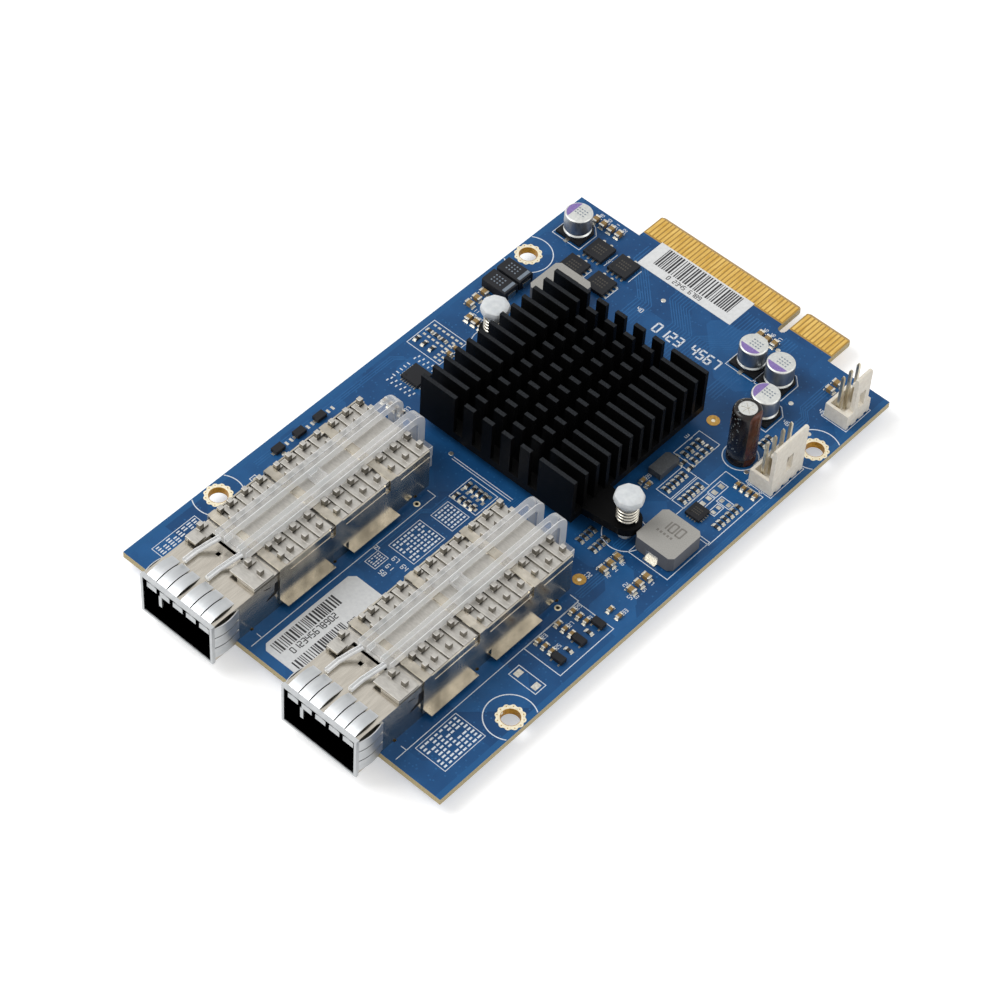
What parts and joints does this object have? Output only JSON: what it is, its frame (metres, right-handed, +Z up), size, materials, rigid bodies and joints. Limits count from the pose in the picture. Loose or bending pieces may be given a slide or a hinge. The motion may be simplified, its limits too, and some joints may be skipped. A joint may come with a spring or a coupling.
{
  "type": "network interface card",
  "caption": "Low dual-cage network interface module: blue circuit board with a gold edge connector, black finned heat sink and sprung port cages under their own heat sinks.",
  "frame": {"origin": "centre of the four mounting holes, on the underside of the circuit board", "axes": "+X to the right seen from above with the ports in front, +Y from the port mouths towards the gold edge connector, +Z up from the board to the component side"},
  "size_m": [0.0844, 0.1522, 0.0192],
  "materials": {
    "board_laminate": "blue solder mask over glass laminate, satin",
    "contact_gold": "thin gold plating, polished",
    "tinned_ring": "hot levelled tin, satin",
    "test_ring_gold": "gold plating, satin",
    "led_resin": "milky resin",
    "chip_carrier": "green laminate carrier with a bare die",
    "thermal_pad": "grey filled silicone",
    "black_anodised": "black anodised, satin",
    "white_nylon": "natural nylon",
    "spring_wire": "drawn steel wire",
    "inductor_ferrite": "pressed grey metal powder",
    "tinned_copper": "tin plating",
    "can_aluminium": "drawn, satin",
    "black_moulding": "moulded black plastic",
    "brown_sleeve": "shrunk dark brown film",
    "black_epoxy": "moulded epoxy",
    "ivory_nylon": "ivory nylon",
    "pin_brass": "tinned brass",
    "solder": "bright solder",
    "oscillator_lid": "dark grey metal lid on a ceramic base",
    "capacitor_ceramic": "tan ceramic with tinned ends",
    "resistor_ceramic": "black glass coat with tinned ends",
    "white_label": "paper label",
    "silver_label": "film label",
    "nickel_sheet": "nickel plated sheet, satin",
    "bright_spring_sheet": "bright tin plated spring sheet",
    "plain_aluminium": "milled, clear finish",
    "clip_steel": "stainless spring sheet",
    "clear_polycarbonate": "clear moulded polycarbonate"
  },
  "bodies": {
    "root": {"circuit_board": "board_laminate", "edge_contacts": "contact_gold", "mounting_hole_rings": "tinned_ring", "test_point_rings": "test_ring_gold", "port_leds": "led_resin", "controller_chip": "chip_carrier", "thermal_pad": "thermal_pad", "main_heat_sink": "black_anodised", "push_pins": "white_nylon", "push_pin_springs": "spring_wire", "power_inductors": "inductor_ferrite", "inductor_terminals": "tinned_copper", "polymer_capacitor_cans": "can_aluminium", "polymer_capacitor_seats": "black_moulding", "polymer_capacitor_terminals": "tinned_copper", "radial_capacitor_can": "can_aluminium", "radial_capacitor_sleeve": "brown_sleeve", "radial_capacitor_leads": "tinned_copper", "power_transistors": "black_epoxy", "power_transistor_leads": "tinned_copper", "tantalum_capacitors": "black_epoxy", "tantalum_terminals": "tinned_copper", "fan_header_4pin": "ivory_nylon", "fan_header_3pin": "ivory_nylon", "fan_header_pins": "pin_brass", "solder_joints": "solder", "power_driver_chip": "black_epoxy", "monitor_chip": "black_epoxy", "chip_leads": "tinned_copper", "oscillator": "oscillator_lid", "small_transistors": "black_epoxy", "small_transistor_leads": "tinned_copper", "small_diodes": "black_epoxy", "small_diode_leads": "tinned_copper", "big_ceramic_capacitors": "capacitor_ceramic", "small_ceramic_capacitors": "capacitor_ceramic", "chip_resistors": "resistor_ceramic", "port_label": "white_label", "rear_label": "silver_label", "cage_left": "nickel_sheet", "spring_collar_left": "bright_spring_sheet", "host_connector_left": "black_moulding", "cage_heat_sink_left": "plain_aluminium", "sink_clip_left": "clip_steel", "light_pipe_left": "clear_polycarbonate", "cage_right": "nickel_sheet", "spring_collar_right": "bright_spring_sheet", "host_connector_right": "black_moulding", "cage_heat_sink_right": "plain_aluminium", "sink_clip_right": "clip_steel", "light_pipe_right": "clear_polycarbonate"}
  },
  "joints": []
}
